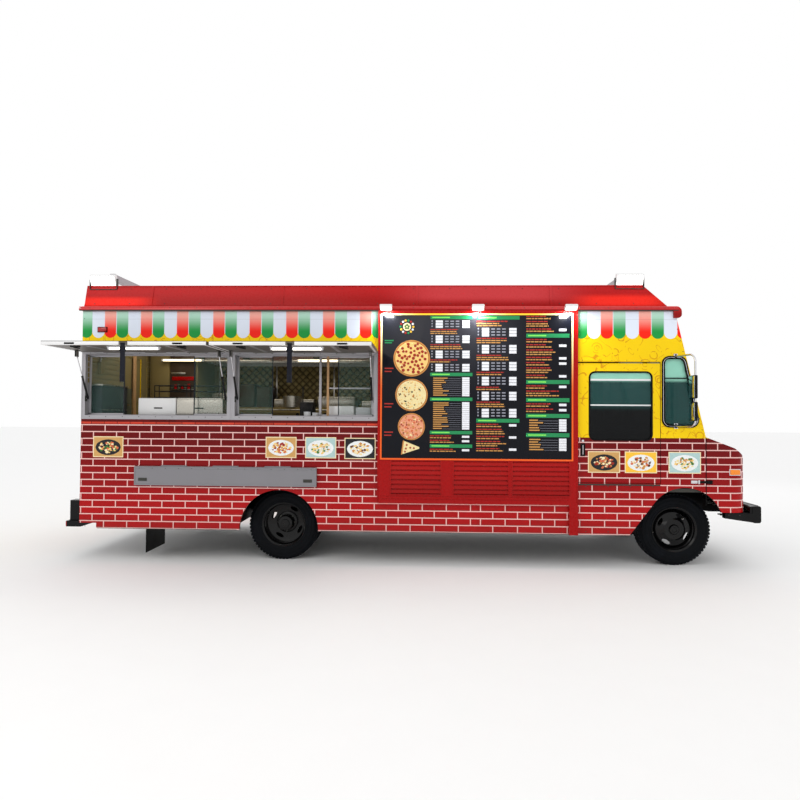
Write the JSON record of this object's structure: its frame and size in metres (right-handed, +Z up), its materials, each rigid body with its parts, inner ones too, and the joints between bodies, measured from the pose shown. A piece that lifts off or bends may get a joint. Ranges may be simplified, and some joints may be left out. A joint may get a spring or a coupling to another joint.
{
  "type": "food truck",
  "caption": "Step-van food truck with service windows under lift-up flaps, folding shelf, sliding cab doors, tilting nose and twin rear wheels.",
  "frame": {"origin": "on the ground, under the centre of the box around the parked truck with its flaps open", "axes": "+X forward, +Y to the driver side, +Z up"},
  "size_m": [7.908, 3.594, 3.45],
  "materials": {
    "chassis": "matt black frame paint",
    "engine": "bare casting",
    "exhaust": "dull steel",
    "tank": "brushed",
    "wrap_brick": "printed brick wrap, satin",
    "wrap_yellow": "printed yellow wrap, satin",
    "red_paint": "gloss red",
    "roof_paint": "gloss red",
    "grey_paint": "satin grey",
    "frame_alloy": "anodised",
    "flap_panel": "satin sheet",
    "stainless": "brushed",
    "glass": "green tint",
    "black_paint": "satin black",
    "mirror_metal": "polished",
    "cab_trim": "grained",
    "seat_cloth": "woven",
    "grille_plastic": "moulded",
    "strut_rod": "polished",
    "webbing": "woven strap",
    "rubber": "moulded",
    "tyre": "tread rubber",
    "wheel": "gloss black"
  },
  "bodies": {
    "root": {"frame_rails": "chassis", "cross_members": "chassis", "engine_block": "engine", "drive_shaft": "chassis", "exhaust": "exhaust", "fuel_tank": "tank", "front_axle_beam": "chassis", "rear_axle": "chassis", "leaf_springs": "chassis", "floor": "stainless", "service_side_panel": "wrap_brick", "driver_side_panel": "wrap_brick", "upper_panels": "wrap_yellow", "middle_panels": "wrap_brick", "quarter_panels": "wrap_yellow", "sill_panels": "wrap_brick", "roof": "roof_paint", "roof_screen": "roof_paint", "roof_end_frames": "grey_paint", "rear_wall": "wrap_yellow", "cab_front": "wrap_yellow", "window_glass": "glass", "service_window_frames": "frame_alloy", "louvred_covers": "red_paint", "front_bumper": "black_paint", "rear_step": "black_paint", "mud_flaps": "rubber", "mirrors": "mirror_metal", "seats": "seat_cloth", "dashboard": "cab_trim", "engine_cover": "cab_trim", "kitchen_units": "stainless", "range_hood": "stainless"},
    "hood": {"hood": "wrap_brick", "grille": "grille_plastic"},
    "side_door_right": {"side_door_right": "wrap_yellow", "door_glass_right": "glass"},
    "side_door_left": {"side_door_left": "wrap_yellow", "door_glass_left": "glass"},
    "rear_door": {"rear_door": "wrap_yellow"},
    "shelf": {"shelf": "stainless"},
    "knuckle_right": {"knuckle_right": "chassis"},
    "knuckle_left": {"knuckle_left": "chassis"},
    "tie_rod": {"tie_rod": "chassis"},
    "flap_rear": {"flap_rear": "flap_panel"},
    "strut_barrels_rear": {"strut_barrels_rear": "black_paint"},
    "strut_rods_rear": {"strut_rods_rear": "strut_rod"},
    "pull_strap_rear": {"pull_strap_rear": "webbing"},
    "flap_front": {"flap_front": "flap_panel"},
    "strut_barrels_front": {"strut_barrels_front": "black_paint"},
    "strut_rods_front": {"strut_rods_front": "strut_rod"},
    "pull_strap_front": {"pull_strap_front": "webbing"},
    "front_wheel_right": {"tyre_front_right": "tyre", "rim_front_right": "wheel"},
    "front_wheel_left": {"tyre_front_left": "tyre", "rim_front_left": "wheel"},
    "rear_wheel_right": {"tyre_rear_right": "tyre", "rim_rear_right": "wheel"},
    "rear_wheel_left": {"tyre_rear_left": "tyre", "rim_rear_left": "wheel"}
  },
  "joints": [
    {"name": "steer_right", "type": "hinge", "parent": "root", "child": "knuckle_right", "pos_m": [3.083, -0.528, 0.4], "axis": [0, 0, 1], "range_deg": [-32, 32]},
    {"name": "steer_left", "type": "hinge", "parent": "root", "child": "knuckle_left", "pos_m": [3.083, 0.962, 0.4], "axis": [0, 0, 1], "range_deg": [-32, 32]},
    {"name": "tie_rod_swivel", "type": "hinge", "parent": "knuckle_right", "child": "tie_rod", "pos_m": [2.913, -0.528, 0.355], "axis": [0, 0, 1], "range_deg": [-32, 32]},
    {"name": "front_wheel_right_spin", "type": "hinge", "parent": "knuckle_right", "child": "front_wheel_right", "pos_m": [3.083, -0.6555, 0.4075], "axis": [0, 1, 0], "continuous": true},
    {"name": "front_wheel_left_spin", "type": "hinge", "parent": "knuckle_left", "child": "front_wheel_left", "pos_m": [3.083, 1.0895, 0.4075], "axis": [0, 1, 0], "continuous": true},
    {"name": "rear_wheel_right_spin", "type": "hinge", "parent": "root", "child": "rear_wheel_right", "pos_m": [-1.438, -0.5255, 0.4075], "axis": [0, 1, 0], "continuous": true},
    {"name": "rear_wheel_left_spin", "type": "hinge", "parent": "root", "child": "rear_wheel_left", "pos_m": [-1.438, 0.9595, 0.4075], "axis": [0, 1, 0], "continuous": true},
    {"name": "side_door_right_slide", "type": "slide", "parent": "root", "child": "side_door_right", "axis": [-1, 0, 0], "range_m": [0, 0.85]},
    {"name": "side_door_left_slide", "type": "slide", "parent": "root", "child": "side_door_left", "axis": [-1, 0, 0], "range_m": [0, 0.85]},
    {"name": "rear_door_hinge", "type": "hinge", "parent": "root", "child": "rear_door", "pos_m": [-3.775, 0.617, 1.8], "axis": [0, 0, -1], "range_deg": [0, 110]},
    {"name": "hood_tilt", "type": "hinge", "parent": "root", "child": "hood", "pos_m": [3.83, 0.217, 0.735], "axis": [0, 1, 0], "range_deg": [0, 65]},
    {"name": "flap_rear_hinge", "type": "hinge", "parent": "root", "child": "flap_rear", "pos_m": [-2.894, -0.998, 2.408], "axis": [1, 0, 0], "range_deg": [0, 90]},
    {"name": "strut_rear_tilt", "type": "hinge", "parent": "root", "child": "strut_barrels_rear", "pos_m": [-2.894, -0.963, 1.873], "axis": [1, 0, 0], "range_deg": [-32.43, 0.2]},
    {"name": "strut_rear_slide", "type": "slide", "parent": "strut_barrels_rear", "child": "strut_rods_rear", "axis": [0, -0.4657, 0.8849], "range_m": [-0.2168, 0.001]},
    {"name": "pull_strap_rear_swing", "type": "hinge", "parent": "flap_rear", "child": "pull_strap_rear", "pos_m": [-2.894, -1.79, 2.425], "axis": [1, 0, 0], "range_deg": [-90.2, 0.2]},
    {"name": "flap_front_hinge", "type": "hinge", "parent": "root", "child": "flap_front", "pos_m": [-1.166, -0.998, 2.408], "axis": [1, 0, 0], "range_deg": [0, 90]},
    {"name": "strut_front_tilt", "type": "hinge", "parent": "root", "child": "strut_barrels_front", "pos_m": [-1.166, -0.963, 1.873], "axis": [1, 0, 0], "range_deg": [-32.43, 0.2]},
    {"name": "strut_front_slide", "type": "slide", "parent": "strut_barrels_front", "child": "strut_rods_front", "axis": [0, -0.4657, 0.8849], "range_m": [-0.2168, 0.001]},
    {"name": "pull_strap_front_swing", "type": "hinge", "parent": "flap_front", "child": "pull_strap_front", "pos_m": [-1.166, -1.79, 2.425], "axis": [1, 0, 0], "range_deg": [-90.2, 0.2]},
    {"name": "shelf_hinge", "type": "hinge", "parent": "root", "child": "shelf", "pos_m": [-2.0635, -0.995, 1.104], "axis": [-1, 0, 0], "range_deg": [0, 90]}
  ],
  "couplings": [
    {"joint": "steer_left", "follows": "steer_right", "ratio": 1},
    {"joint": "tie_rod_swivel", "follows": "steer_right", "ratio": -1},
    {"joint": "strut_rear_tilt", "follows": "flap_rear_hinge", "ratio": -0.35806},
    {"joint": "strut_rear_slide", "follows": "flap_rear_hinge", "m_per_rad": -0.13738},
    {"joint": "pull_strap_rear_swing", "follows": "flap_rear_hinge", "ratio": -1},
    {"joint": "strut_front_tilt", "follows": "flap_front_hinge", "ratio": -0.35806},
    {"joint": "strut_front_slide", "follows": "flap_front_hinge", "m_per_rad": -0.13738},
    {"joint": "pull_strap_front_swing", "follows": "flap_front_hinge", "ratio": -1}
  ]
}
